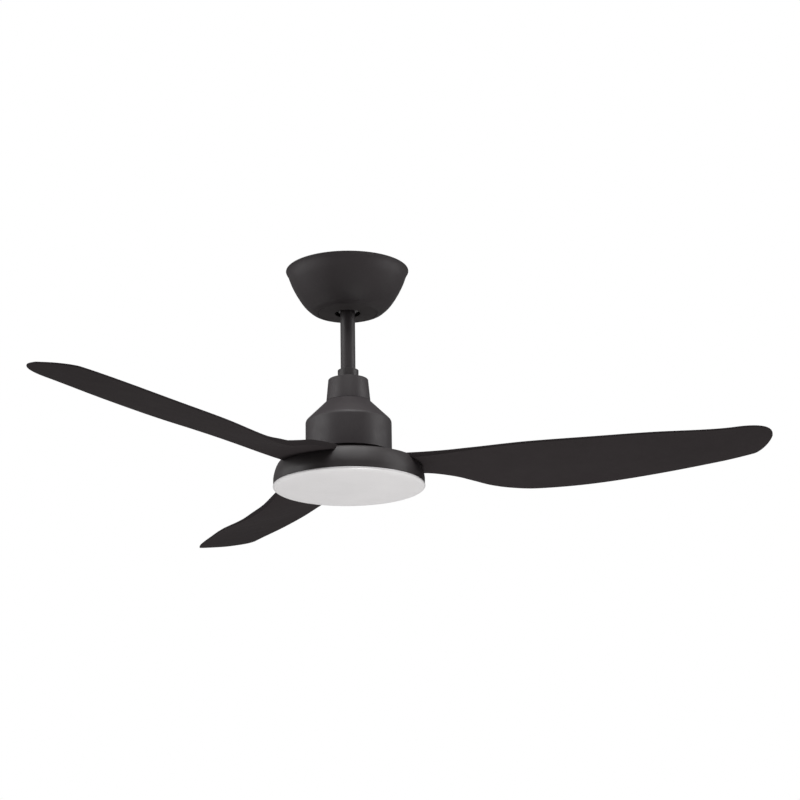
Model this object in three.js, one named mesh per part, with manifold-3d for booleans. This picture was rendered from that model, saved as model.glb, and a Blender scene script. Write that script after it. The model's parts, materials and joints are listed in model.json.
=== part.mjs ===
// Three-blade ceiling fan with an LED light, on a short downrod.
// Millimetres, +Z up. The origin is the centre of the bracket's ceiling face, and the fan hangs below it.
import * as THREE from "three";
import { mergeVertices } from "three/addons/utils/BufferGeometryUtils.js";
import Module from "manifold-3d";

const wasm = await Module();
wasm.setup();

// ---------------------------------------------------------------- driving dimensions
const GAP = 0.3; // clearance between pieces that touch
const BLADES = 3;
const FIRST_BLADE_DEG = -8.4; // azimuth of blade_1 at rest
const BLADE_RADIUS = 594.7; // half of the sweep

const CANOPY_RIM_Z = -0.5;
const CANOPY_BOTTOM_Z = -64;
const RING_SEAT_Z = -59.9; // roof of the recess that the canopy ring closes
const RING_RADIUS = 42.7;
const ROD_HOLE_RADIUS = 18.2; // wide enough for the rod to lean
const RING_DISH = 1.2; // the canopy ring is lower at its hole than at its rim
const CANOPY_SCREW_X = 33;

const BALL_Z = -36; // pivot of the hanger ball
const BALL_RADIUS = 22;
const BALL_HALF_HEIGHT = 18.6;
const SEAT_THICKNESS = 2.4;
const CUP_THICKNESS = 2.5;
const SHEET = 2.5; // bracket steel
const BRACKET_HALF_LENGTH = 52;
const BRACKET_HALF_WIDTH = 30;
const LEG_X = 47;
const LEG_HALF_WIDTH = 15;
const BRACKET_BOTTOM_Z = -57.7;
const ROD_SLOT_HALF = 12.2; // side opening that lets the rod into the cup
const UNDER_PLATE_Z = -SHEET - GAP; // just under the bracket's plate
const TAB_FOOT_Z = UNDER_PLATE_Z - 1.8; // tabs that hold the receiver and the terminal block

const ROD_RADIUS = 10.65; // half-inch pipe, 21.3 mm outside
const ROD_BORE = 8.2;
const ROD_TOP_Z = -15.5;
const ROD_FOOT_Z = -190;
const PIN_RADIUS = 3;
const COLLAR_RADIUS = 15;
const COLLAR_TOP_Z = -150.8;
const YOKE_COVER_TOP_Z = -165.2;
const YOKE_PIN_Z = -182;
const YOKE_SCREW_Z = -174;
const YOKE_RADIUS = 17;
const YOKE_FLANGE = 3.6; // thickness of the flange that is screwed to the housing

const HOUSING_TOP_Z = -198.4;
const HOUSING_SHOULDER_Z = -227.8;
const HOUSING_FOOT_Z = -275.4;
const HOUSING_RADIUS = 61.4;
const HOUSING_WALL = 1.6;
const HOUSING_BOLT_RADIUS = 22;
const YOKE_FOOT_Z = HOUSING_TOP_Z + GAP;

const SHAFT_RADIUS = 8.5;
const SHAFT_BORE = 6.2;
const SHAFT_TOP_Z = -190.6;
const SHAFT_FOOT_Z = -309;
const BEARING_RADIUS = 20;
const BEARING_HEIGHT = 11.4;
const ROTOR_RADIUS = 57;
const ROTOR_WALL = 2.5;
const ROTOR_TOP_Z = -209.5;
const ROTOR_SEAM_Z = -243.85;
const ROTOR_FOOT_Z = -270.5;
const STATOR_TOP_Z = -234;
const STATOR_FOOT_Z = -255;
const TEETH = 12;

const HUB_CREST_RADIUS = 98;
const HUB_CREST_Z = -288;
const HUB_SKIRT_RADIUS = 107.6;
const HUB_SKIRT_FOOT_Z = -321;
const HUB_BOLT_RADIUS = 46;
const BLADE_SCREW_RADIUS = 80;
const BLADE_SCREW_T = [20, -26]; // towards the leading and the trailing edge

const LIGHT_BOLT_RADIUS = 43;
const PAN_TOP_Z = -311.5;
const PAN_RADIUS = 101.7;
const PAN_SHEET = 1.5;
const LED_BOARD_RADIUS = 90;
const DIFFUSER_RADIUS = 108;
const DIFFUSER_RIM_Z = -321.4;
const DIFFUSER_FOOT_Z = -326.3;
const BAYONETS = 3;

// Blade by radius: chord centre (positive towards the leading edge), half chord seen from above, height of
// the chord centre, pitch in degrees, and the thickness of the leading and of the trailing edge.
const BLADE_STATIONS = [
  [60, -4.8, 46.5, -292, 0, 7.4, 8],
  [105, -4.5, 45.6, -292, 0, 7.4, 8.4],
  [145, -6.2, 49.1, -294.2, 4.1, 5.5, 8.1],
  [170, -7.8, 51.9, -296.8, 8.3, 4.7, 8],
  [195, -9.6, 54.9, -299.6, 12.1, 4, 7.6],
  [225, -12, 58.7, -300.9, 14.1, 3.7, 7.2],
  [260, -14.6, 62.6, -301.5, 15, 3.5, 4.2],
  [340, -17.4, 65.8, -298.8, 13.4, 3.2, 3.2],
  [430, -15.4, 60.8, -293.8, 12.2, 3, 3],
  [520, -13.4, 50.9, -288, 10.2, 2.8, 2.8],
  [560, -8.6, 47.1, -284.1, 9.5, 2.7, 2.7],
  [600, 1.2, 44.8, -278.9, 9.2, 2.6, 2.6],
];
const BLADE_SWELL = 2.2; // how much thicker the middle of the chord is than its edges, outside the flat root
const ROOT_END = 105; // the flat root ends here, and the swell is full from SWELL_FULL on
const SWELL_FULL = 180;
const LEADING_TIP = { start: 544.3, power: 2.17 }; // where each half chord starts to close, and how fully
const TRAILING_TIP = { start: 568.7, power: 1.6 };

// ---------------------------------------------------------------- materials
const finish = {
  blackMetal: { color: 0x3d3a3b, roughness: 0.55, metalness: 0.4 },
  blackPlastic: { color: 0x2c2a2b, roughness: 0.7, metalness: 0 },
  satinPlastic: { color: 0x3a3738, roughness: 0.55, metalness: 0 },
  steel: { color: 0xa8abad, roughness: 0.35, metalness: 0.9 },
  zinc: { color: 0x9a9c98, roughness: 0.5, metalness: 0.8 },
  castAluminium: { color: 0xb4b6b8, roughness: 0.5, metalness: 0.8 },
  whitePlastic: { color: 0xe2e0dc, roughness: 0.5, metalness: 0 },
  nylon: { color: 0xd9d4c4, roughness: 0.6, metalness: 0 },
  rubber: { color: 0x222222, roughness: 0.9, metalness: 0 },
  lamination: { color: 0x5c6066, roughness: 0.6, metalness: 0.7 },
  copper: { color: 0xb5652b, roughness: 0.35, metalness: 0.9 },
  ferrite: { color: 0x35373a, roughness: 0.7, metalness: 0.2 },
  board: { color: 0x1f5a3a, roughness: 0.6, metalness: 0 },
  ledBoard: { color: 0xe8e8e4, roughness: 0.5, metalness: 0.1 },
  opal: { color: 0xd1cfd0, roughness: 0.45, metalness: 0 },
};

// ---------------------------------------------------------------- solids
const radians = THREE.MathUtils.degToRad;

function signedVolume(geometry) {
  const position = geometry.attributes.position;
  const index = geometry.index.array;
  const corner = [new THREE.Vector3(), new THREE.Vector3(), new THREE.Vector3()];
  let volume = 0;
  for (let i = 0; i < index.length; i += 3) {
    corner.forEach((point, k) => point.fromBufferAttribute(position, index[i + k]));
    volume += corner[0].dot(corner[1].cross(corner[2])) / 6;
  }
  return volume;
}

// Turns a closed geometry into a solid, with its faces pointing out.
function solid(geometry) {
  geometry.deleteAttribute("normal");
  geometry.deleteAttribute("uv");
  const merged = mergeVertices(geometry, 1e-4);
  const source = merged.index.array;
  const kept = [];
  for (let i = 0; i < source.length; i += 3) {
    const [a, b, c] = [source[i], source[i + 1], source[i + 2]];
    if (a !== b && b !== c && c !== a) kept.push(a, b, c);
  }
  merged.setIndex(kept);
  if (signedVolume(merged) < 0) kept.reverse();
  const vertProperties = Float32Array.from(merged.attributes.position.array);
  return new wasm.Manifold(new wasm.Mesh({ numProp: 3, vertProperties, triVerts: Uint32Array.from(kept) }));
}

function geometryOf(body) {
  const mesh = body.getMesh();
  const geometry = new THREE.BufferGeometry();
  geometry.setAttribute("position", new THREE.BufferAttribute(mesh.vertProperties, 3));
  geometry.setIndex(new THREE.BufferAttribute(mesh.triVerts, 1));
  geometry.computeVertexNormals();
  return geometry;
}

// Profile of [radius, z] corners. A third number rounds that corner.
function rounded(corners, steps = 2) {
  const points = [];
  corners.forEach(([r, z, fillet], i) => {
    const here = new THREE.Vector2(r, z);
    if (!fillet) {
      points.push(here);
      return;
    }
    const before = new THREE.Vector2(...corners.at(i - 1).slice(0, 2));
    const after = new THREE.Vector2(...corners[(i + 1) % corners.length].slice(0, 2));
    const start = before.sub(here).setLength(fillet).add(here);
    const end = after.sub(here).setLength(fillet).add(here);
    points.push(...new THREE.QuadraticBezierCurve(start, here, end).getPoints(steps));
  });
  return points;
}

// Solid of revolution about Z. The profile is closed here unless it runs from axis to axis.
function turned(corners, segments = 28) {
  const profile = rounded(corners);
  const last = profile[profile.length - 1];
  if (profile[0].x > 0 || last.x > 0) profile.push(profile[0].clone());
  return solid(new THREE.LatheGeometry(profile, segments).rotateX(Math.PI / 2));
}

function ring(inner, outer, low, high, segments = 28) {
  return turned([[inner, low], [outer, low], [outer, high], [inner, high]], segments);
}

function block(x0, x1, y0, y1, z0, z1) {
  const shape = new THREE.BoxGeometry(x1 - x0, y1 - y0, z1 - z0);
  return solid(shape.translate((x0 + x1) / 2, (y0 + y1) / 2, (z0 + z1) / 2));
}

// Cylinder between two heights at x, y.
function post(radius, low, high, x = 0, y = 0, segments = 10) {
  const shape = new THREE.CylinderGeometry(radius, radius, high - low, segments).rotateX(Math.PI / 2);
  return solid(shape.translate(x, y, (low + high) / 2));
}

function postAlongX(radius, x0, x1, z, segments = 12) {
  const shape = new THREE.CylinderGeometry(radius, radius, x1 - x0, segments).rotateZ(Math.PI / 2);
  return solid(shape.translate((x0 + x1) / 2, 0, z));
}

function postAlongY(radius, y0, y1, z, x = 0, segments = 8) {
  const shape = new THREE.CylinderGeometry(radius, radius, y1 - y0, segments);
  return solid(shape.translate(x, (y0 + y1) / 2, z));
}

function extruded(shape, low, high) {
  const geometry = new THREE.ExtrudeGeometry(shape, { depth: high - low, bevelEnabled: false });
  return solid(geometry.translate(0, 0, low));
}

// Round wire along a list of points.
function wire(points, radius, steps, sides = 8) {
  const section = new THREE.Shape();
  section.absarc(0, 0, radius, 0, 2 * Math.PI);
  const knots = points.map((point) => new THREE.Vector3(...point));
  const path = new THREE.CatmullRomCurve3(knots, false, "centripetal");
  const options = { extrudePath: path, steps, curveSegments: sides / 2, bevelEnabled: false };
  return solid(new THREE.ExtrudeGeometry(section, options));
}

function join(...bodies) {
  return bodies.reduce((sum, body) => sum.add(body));
}

function cut(body, ...tools) {
  return tools.reduce((rest, tool) => rest.subtract(tool), body);
}

function around(radius, degrees) {
  return [radius * Math.cos(radians(degrees)), radius * Math.sin(radians(degrees))];
}

// Arc of a sphere's profile about the ball's centre, from one elevation to the other.
function ballArc(radius, fromDeg, toDeg, steps) {
  return Array.from({ length: steps + 1 }, (_, i) => {
    const elevation = radians(fromDeg + ((toDeg - fromDeg) * i) / steps);
    return [radius * Math.cos(elevation), BALL_Z + radius * Math.sin(elevation)];
  });
}

// Round-headed screw on a vertical axis: head below the shank when up is true.
function screw([x, y], headZ, tipZ, shankRadius, headRadius, headHeight) {
  const up = Math.sign(tipZ - headZ);
  const seatZ = headZ + up * headHeight;
  const profile = [
    [0, headZ],
    [headRadius * 0.8, headZ],
    [headRadius, seatZ],
    [shankRadius, seatZ],
    [shankRadius, tipZ],
    [0, tipZ],
  ];
  return turned(profile, 8).translate([x, y, 0]);
}

// ---------------------------------------------------------------- canopy and ceiling bracket
const rodSlot = block(-ROD_SLOT_HALF, ROD_SLOT_HALF, 0, BRACKET_HALF_WIDTH + 1, -62, -22);

function ceilingBracket() {
  const cupInner = BALL_RADIUS + SEAT_THICKNESS + 2 * GAP;
  const cup = turned([
    ...ballArc(cupInner, -18, -50, 4).reverse(),
    ...ballArc(cupInner + CUP_THICKNESS, -18, -46, 3),
  ].reverse());
  const [cupHole] = ballArc(cupInner, -50, -50, 1)[0];
  const floorTop = BRACKET_BOTTOM_Z + SHEET;
  let bracket = join(
    block(-BRACKET_HALF_LENGTH, BRACKET_HALF_LENGTH, -BRACKET_HALF_WIDTH, BRACKET_HALF_WIDTH, -SHEET, 0),
    block(-LEG_X, -LEG_X + SHEET, -LEG_HALF_WIDTH, LEG_HALF_WIDTH, BRACKET_BOTTOM_Z, -SHEET / 2),
    block(LEG_X - SHEET, LEG_X, -LEG_HALF_WIDTH, LEG_HALF_WIDTH, BRACKET_BOTTOM_Z, -SHEET / 2),
    block(-LEG_X, LEG_X, -LEG_HALF_WIDTH, LEG_HALF_WIDTH, BRACKET_BOTTOM_Z, floorTop),
    post(27, BRACKET_BOTTOM_Z, floorTop, 0, 0, 24),
    cup,
  );
  bracket = cut(bracket, post(cupHole, BRACKET_BOTTOM_Z - 1, floorTop + 1, 0, 0, 28), rodSlot);
  for (const side of [-1, 1]) {
    const slotX = side * 36;
    bracket = cut(
      bracket,
      post(3, -SHEET - 1, 1, slotX - 6, 0),
      post(3, -SHEET - 1, 1, slotX + 6, 0),
      block(slotX - 6, slotX + 6, -3, 3, -SHEET - 1, 1),
      post(2.3, BRACKET_BOTTOM_Z - 1, floorTop + 1, side * CANOPY_SCREW_X, 0),
    );
  }
  return bracket;
}

function canopy() {
  const outside = new THREE.CatmullRomCurve3(
    [[45.5, -63.5], [53, -60.1], [63.4, -50], [72.7, -36], [80.9, -20], [86.1, -6], [89, CANOPY_RIM_Z]]
      .map(([r, z]) => new THREE.Vector3(r, z, 0)),
  ).getPoints(7).map((point) => [point.x, point.y]);
  const shell = turned([
    [RING_RADIUS + GAP, CANOPY_BOTTOM_Z],
    ...outside,
    [87.2, CANOPY_RIM_Z],
    [79.3, -19.4],
    [71, -35.2],
    [61.6, -48.8],
    [52.5, -57],
    [49, -58.3],
    [20, -58.3],
    [20, RING_SEAT_Z],
    [RING_RADIUS + GAP, RING_SEAT_Z],
  ], 36);
  const hole = (x) => post(2.4, RING_SEAT_Z - 1, -57, x, 0);
  return cut(shell, hole(-CANOPY_SCREW_X), hole(CANOPY_SCREW_X));
}

// Slightly dished cover plate under the canopy.
function canopyRing() {
  return turned([
    [ROD_HOLE_RADIUS, -63.7 - RING_DISH],
    [RING_RADIUS, -63.7],
    [RING_RADIUS, RING_SEAT_Z - GAP],
    [RING_RADIUS - 1.5, RING_SEAT_Z - GAP],
    [RING_RADIUS - 1.5, -62.3],
    [ROD_HOLE_RADIUS, -62.3 - RING_DISH],
  ], 36);
}

function canopyScrew(x) {
  return screw([x, 0], -62, -53, 2, 3.8, 1.8);
}

// Remote-control receiver beside the bracket, held by a tab under the bracket's plate.
function receiverBox() {
  const halfLength = 32;
  const near = BRACKET_HALF_WIDTH + 0.5;
  const box = block(-halfLength, halfLength, near, near + 21.5, -27, UNDER_PLATE_Z);
  return join(box, block(-20, 20, near - 8.5, near + 0.5, TAB_FOOT_Z, UNDER_PLATE_Z));
}

// Four-way terminal block on the bracket's other side.
function terminalBlock() {
  const halfLength = 22;
  const near = -BRACKET_HALF_WIDTH - 0.5;
  const foot = -18;
  const wayPitch = 10;
  let body = block(-halfLength, halfLength, near - 14.5, near, foot, UNDER_PLATE_Z);
  body = join(body, block(-10, 10, near - 0.5, near + 9.5, TAB_FOOT_Z, UNDER_PLATE_Z));
  for (let i = 0; i < 4; i += 1) {
    body = cut(body, post(2.2, foot - 1, foot + 6, (i - 1.5) * wayPitch, near - 7.5, 8));
  }
  return body;
}

// ---------------------------------------------------------------- hanger
function ballSeat() {
  const inner = BALL_RADIUS + GAP;
  const liner = turned([
    ...ballArc(inner, -20, -52, 4).reverse(),
    ...ballArc(inner + SEAT_THICKNESS, -20, -52, 4),
  ].reverse());
  return cut(liner, rodSlot);
}

function hangerBall() {
  const edgeDeg = THREE.MathUtils.radToDeg(Math.asin(BALL_HALF_HEIGHT / BALL_RADIUS));
  const ball = turned([
    [ROD_RADIUS + GAP, BALL_Z - BALL_HALF_HEIGHT],
    ...ballArc(BALL_RADIUS, -edgeDeg, edgeDeg, 8),
    [ROD_RADIUS + GAP, BALL_Z + BALL_HALF_HEIGHT],
  ]);
  return cut(
    ball,
    postAlongX(PIN_RADIUS + GAP, -30, 30, BALL_Z),
    postAlongY(2.7, -30, -5, BALL_Z),
  );
}

function downrod() {
  const tube = ring(ROD_BORE, ROD_RADIUS, ROD_FOOT_Z, ROD_TOP_Z, 24);
  return cut(
    tube,
    postAlongX(PIN_RADIUS + GAP, -20, 20, BALL_Z),
    postAlongX(PIN_RADIUS + GAP, -20, 20, YOKE_PIN_Z),
  );
}

// Three supply leads in one sleeve, down the rod beside the two pins and into the hollow shaft.
function leadBundle() {
  const besidePins = 5.3;
  const inShaft = 3.8;
  const points = [
    [0, besidePins, -12],
    [0, besidePins, BALL_Z],
    [0, besidePins, -110],
    [0, besidePins, YOKE_PIN_Z - 2.5],
    [0, inShaft, SHAFT_TOP_Z - 0.4],
    [0, inShaft, -250],
    [0, inShaft, -312.4],
  ];
  return wire(points, 1.8, 30, 6);
}

function rodCollar() {
  return turned([
    [ROD_RADIUS + GAP, YOKE_COVER_TOP_Z + GAP],
    [COLLAR_RADIUS, YOKE_COVER_TOP_Z + GAP],
    [COLLAR_RADIUS, COLLAR_TOP_Z, 0.6],
    [ROD_RADIUS + GAP, COLLAR_TOP_Z],
  ], 24);
}

function couplingYoke() {
  const boreFloor = ROD_FOOT_Z - GAP;
  let yoke = turned([
    [SHAFT_RADIUS + GAP, YOKE_FOOT_Z],
    [27, YOKE_FOOT_Z],
    [27, YOKE_FOOT_Z + YOKE_FLANGE],
    [YOKE_RADIUS, YOKE_FOOT_Z + YOKE_FLANGE],
    [YOKE_RADIUS, YOKE_COVER_TOP_Z - 2.2],
    [ROD_RADIUS + GAP, YOKE_COVER_TOP_Z - 2.2],
    [ROD_RADIUS + GAP, boreFloor],
    [SHAFT_RADIUS + GAP, boreFloor],
  ], 24);
  yoke = cut(
    yoke,
    postAlongX(PIN_RADIUS + GAP, -30, 30, YOKE_PIN_Z),
    postAlongY(2.7, -30, -5, YOKE_SCREW_Z),
    postAlongY(2.7, 5, 30, YOKE_SCREW_Z),
  );
  for (let i = 0; i < 3; i += 1) {
    const spot = around(HOUSING_BOLT_RADIUS, 30 + i * 120);
    yoke = cut(yoke, post(2.3, YOKE_FOOT_Z - 1, YOKE_FOOT_Z + 5, ...spot, 8));
  }
  return yoke;
}

function couplingPin() {
  const pin = join(postAlongX(PIN_RADIUS, -20, 22, YOKE_PIN_Z), postAlongX(4.5, -22.4, -19.9, YOKE_PIN_Z));
  return cut(pin, postAlongY(1.1, -5, 5, YOKE_PIN_Z, 19.4, 8));
}

// Hairpin whose straight leg goes through the pin's cross hole and whose other leg passes its end.
function couplingPinClip() {
  const points = [
    [19.4, -5.5, YOKE_PIN_Z],
    [19.4, 0, YOKE_PIN_Z],
    [19.4, 4.6, YOKE_PIN_Z],
    [21.4, 6.4, YOKE_PIN_Z],
    [23.4, 4.6, YOKE_PIN_Z],
    [23.4, 0, YOKE_PIN_Z],
    [23.4, -4.5, YOKE_PIN_Z],
  ];
  return wire(points, 0.75, 12, 6);
}

function setScrew(z, side, from, to) {
  const [y0, y1] = side > 0 ? [from, to] : [-to, -from];
  const hexEnd = side > 0 ? [to - 2, to + 1] : [-to - 1, -to + 2];
  return cut(postAlongY(2.4, y0, y1, z), postAlongY(1.2, hexEnd[0], hexEnd[1], z, 0, 6));
}

function yokeCover() {
  return turned([
    [29.9, YOKE_FOOT_Z],
    [31.7, YOKE_FOOT_Z],
    [30.9, -190],
    [28.6, YOKE_COVER_TOP_Z, 1],
    [ROD_RADIUS + 2 * GAP, YOKE_COVER_TOP_Z],
    [ROD_RADIUS + 2 * GAP, YOKE_COVER_TOP_Z - 1.8],
    [26.7, YOKE_COVER_TOP_Z - 1.8],
    [29.1, -190],
  ]);
}

// ---------------------------------------------------------------- motor
function motorHousing() {
  const inner = HOUSING_RADIUS - HOUSING_WALL;
  let shell = turned([
    [inner, HOUSING_FOOT_Z],
    [HOUSING_RADIUS, HOUSING_FOOT_Z],
    [HOUSING_RADIUS, HOUSING_SHOULDER_Z, 6],
    [31.9, HOUSING_TOP_Z],
    [SHAFT_RADIUS + 2 * GAP, HOUSING_TOP_Z],
    [SHAFT_RADIUS + 2 * GAP, HOUSING_TOP_Z - SHEET],
    [30.8, HOUSING_TOP_Z - SHEET],
    [inner, HOUSING_SHOULDER_Z - 1.4, 5],
  ], 36);
  for (let i = 0; i < 3; i += 1) {
    const spot = around(HOUSING_BOLT_RADIUS, 30 + i * 120);
    shell = cut(shell, post(2.3, HOUSING_TOP_Z - 4, HOUSING_TOP_Z + 1, ...spot, 8));
  }
  return shell;
}

function housingScrew(i) {
  const headZ = YOKE_FOOT_Z + YOKE_FLANGE + GAP + 2;
  return screw(around(HOUSING_BOLT_RADIUS, 30 + i * 120), headZ, HOUSING_TOP_Z - 4.5, 2, 3.6, 2);
}

function motorShaft() {
  return ring(SHAFT_BORE, SHAFT_RADIUS, SHAFT_FOOT_Z, SHAFT_TOP_Z, 20);
}

const upperBearingTop = ROTOR_TOP_Z - ROTOR_WALL - GAP;
const lowerBearingFoot = ROTOR_FOOT_Z + ROTOR_WALL + GAP;

// Races and the recessed shield between them, as one bearing unit.
function bearing(low) {
  const high = low + BEARING_HEIGHT;
  const inner = SHAFT_RADIUS + GAP;
  return turned([
    [inner, low],
    [BEARING_RADIUS, low],
    [BEARING_RADIUS, high],
    [BEARING_RADIUS - 3, high],
    [BEARING_RADIUS - 3.4, high - 0.8],
    [inner + 3.4, high - 0.8],
    [inner + 3, high],
    [inner, high],
  ], 20);
}

const bearingPocket = BEARING_RADIUS + GAP;

function rotorUpperShell() {
  const wall = ROTOR_RADIUS - ROTOR_WALL;
  return turned([
    [12, ROTOR_TOP_Z - ROTOR_WALL],
    [bearingPocket, ROTOR_TOP_Z - ROTOR_WALL],
    [bearingPocket, ROTOR_TOP_Z - 14],
    [bearingPocket + 2.5, ROTOR_TOP_Z - 14],
    [bearingPocket + 2.5, ROTOR_TOP_Z - ROTOR_WALL],
    [35, ROTOR_TOP_Z - ROTOR_WALL],
    [wall, STATOR_TOP_Z],
    [wall, ROTOR_SEAM_Z + GAP / 2],
    [ROTOR_RADIUS, ROTOR_SEAM_Z + GAP / 2],
    [ROTOR_RADIUS, STATOR_TOP_Z + 1],
    [36.5, ROTOR_TOP_Z],
    [12, ROTOR_TOP_Z],
  ]);
}

function rotorLowerShell() {
  const wall = ROTOR_RADIUS - ROTOR_WALL;
  const floor = ROTOR_FOOT_Z + ROTOR_WALL;
  let shell = turned([
    [12, ROTOR_FOOT_Z],
    [ROTOR_RADIUS, ROTOR_FOOT_Z],
    [ROTOR_RADIUS, ROTOR_SEAM_Z - GAP / 2],
    [wall, ROTOR_SEAM_Z - GAP / 2],
    [wall, floor],
    [bearingPocket + 2.5, floor],
    [bearingPocket + 2.5, floor + 11.5],
    [bearingPocket, floor + 11.5],
    [bearingPocket, floor],
    [12, floor],
  ]);
  for (let i = 0; i < 3; i += 1) {
    shell = cut(shell, post(2.3, ROTOR_FOOT_Z - 1, floor + 1, ...around(HUB_BOLT_RADIUS, 90 + i * 120), 8));
  }
  return shell;
}

function magnetRing() {
  return ring(48.5, ROTOR_RADIUS - ROTOR_WALL - GAP, STATOR_FOOT_Z + 1, STATOR_TOP_Z - 1);
}

// Laminated core: a hub with twelve T-shaped teeth.
function statorCore() {
  const outline = new THREE.Shape();
  const pitch = 360 / TEETH;
  for (let i = 0; i < TEETH; i += 1) {
    const halfTooth = [[40, 3.6], [44, 12.5], [47, 12.8]];
    const mirrored = halfTooth.map(([radius, degrees]) => [radius, -degrees]);
    const corners = [[21, -12], ...mirrored, [47, 0], ...halfTooth.reverse()];
    for (const [radius, degrees] of corners) {
      const [x, y] = around(radius, i * pitch + degrees);
      if (outline.curves.length === 0 && outline.currentPoint.length() === 0) outline.moveTo(x, y);
      else outline.lineTo(x, y);
    }
  }
  const body = extruded(outline, STATOR_FOOT_Z, STATOR_TOP_Z);
  return cut(body, post(SHAFT_RADIUS + GAP, STATOR_FOOT_Z - 1, STATOR_TOP_Z + 1, 0, 0, 20));
}

// End turns of the windings on one face of the core: a ring that bulges over each tooth.
function winding(faceZ, away) {
  const heights = [0, 1, 1, 0];
  const radii = [27, 29, 38, 40];
  const steps = TEETH * 2;
  const corners = [];
  const index = [];
  for (let i = 0; i < steps; i += 1) {
    const bulge = 4.2 + 1.4 * Math.cos((2 * Math.PI * i * TEETH) / steps);
    radii.forEach((radius, k) => {
      const [x, y] = around(radius, (360 * i) / steps);
      corners.push(x, y, faceZ + away * (GAP + heights[k] * bulge));
    });
  }
  for (let i = 0; i < steps; i += 1) {
    for (let k = 0; k < 4; k += 1) {
      const a = i * 4 + k;
      const b = i * 4 + ((k + 1) % 4);
      const c = ((i + 1) % steps) * 4 + k;
      const d = ((i + 1) % steps) * 4 + ((k + 1) % 4);
      index.push(a, c, b, b, c, d);
    }
  }
  const geometry = new THREE.BufferGeometry();
  geometry.setAttribute("position", new THREE.Float32BufferAttribute(corners, 3));
  geometry.setIndex(index);
  return solid(geometry);
}

// Ring-shaped motor controller under the core, with its parts standing on top of the board.
function driverBoard() {
  const boardTop = STATOR_FOOT_Z - 9.6;
  const board = ring(24.5, 50, boardTop - 1.6, boardTop);
  const chip = (degrees) => post(2.6, boardTop - 0.4, boardTop + 2, ...around(46.5, degrees), 8);
  return join(board, chip(0), chip(40), chip(120), chip(160), chip(240), chip(280));
}

// ---------------------------------------------------------------- blades and hub
const stationRadii = BLADE_STATIONS.map((station) => station[0]);
const stationValues = BLADE_STATIONS.flatMap((station) => station.slice(1));
const bladeAt = new THREE.CubicInterpolant(stationRadii, stationValues, 6);

// The rest of a half chord that is closing towards the tip, from 1 down to 0.
function tipClosing(radius, { start, power }) {
  const gone = Math.max(0, radius - start) / (BLADE_RADIUS - start);
  return Math.max(0, 1 - gone ** power) ** (1 / power);
}

// Section from the trailing to the leading edge over the top, and back underneath.
function bladeSection(radius, grow) {
  const [centre, halfChord, z, pitch, leading, trailing] = bladeAt.evaluate(radius);
  const forward = halfChord * tipClosing(radius, LEADING_TIP);
  const backward = halfChord * tipClosing(radius, TRAILING_TIP);
  const thinning = 0.4 + (0.6 * Math.min(forward, backward)) / halfChord;
  const swell = BLADE_SWELL * THREE.MathUtils.smoothstep(radius, ROOT_END, SWELL_FULL);
  const place = (u, side) => {
    const t = u * (u > 0 ? forward : backward);
    const edge = trailing + ((leading - trailing) * (u + 1)) / 2;
    const full = (edge + swell * (1 - u * u)) * thinning;
    const height = Math.abs(u) === 1 ? full / 4 : full / 2;
    const middle = z + t * Math.tan(radians(pitch));
    return [radius, centre + t + Math.sign(u) * grow, middle + side * (height + grow)];
  };
  const across = [-1, -0.95, -0.35, 0.35, 0.95, 1];
  return [...across.map((u) => place(u, 1)), ...across.map((u) => place(u, -1)).reverse()];
}

// Loft in the blade's own frame: x outwards, t towards the leading edge, which faces clockwise from above.
function loft(radii, grow, bladeDeg) {
  const rings = radii.map((radius) => bladeSection(radius, grow));
  const size = rings[0].length;
  const corners = [];
  const index = [];
  const heading = radians(bladeDeg);
  rings.flat().forEach(([r, t, z]) => {
    const x = r * Math.cos(heading) + t * Math.sin(heading);
    const y = r * Math.sin(heading) - t * Math.cos(heading);
    corners.push(x, y, z);
  });
  for (let i = 0; i + 1 < rings.length; i += 1) {
    for (let k = 0; k < size; k += 1) {
      const a = i * size + k;
      const b = i * size + ((k + 1) % size);
      index.push(a, a + size, b, b, a + size, b + size);
    }
  }
  const lastRing = (rings.length - 1) * size;
  for (let k = 1; k + 1 < size; k += 1) {
    index.push(0, k, k + 1);
    index.push(lastRing, lastRing + k + 1, lastRing + k);
  }
  const geometry = new THREE.BufferGeometry();
  geometry.setAttribute("position", new THREE.Float32BufferAttribute(corners, 3));
  geometry.setIndex(index);
  return solid(geometry);
}

const bladeHeading = (i) => FIRST_BLADE_DEG + (i * 360) / BLADES;

function bladeScrewSpot(i, t) {
  const heading = radians(bladeHeading(i));
  const x = BLADE_SCREW_RADIUS * Math.cos(heading) + t * Math.sin(heading);
  const y = BLADE_SCREW_RADIUS * Math.sin(heading) - t * Math.cos(heading);
  return [x, y];
}

const BLADE_RINGS = [
  66, 98, 112, 135, 165, 200, 240, 290, 350, 415, 480, 530, 552, 568, 579, 586.5, 591, 593.5, 594.6,
];
const ROOT_RINGS = [65.7, 98, 105, 118];

function blade(i) {
  const body = loft(BLADE_RINGS, 0, bladeHeading(i));
  return cut(body, ...BLADE_SCREW_T.map((t) => post(2.5, -300, -284, ...bladeScrewSpot(i, t), 8)));
}

function bladeScrew(i, t) {
  return screw(bladeScrewSpot(i, t), -285.2, -299.8, 2.1, 4.2, 2.4);
}

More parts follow.
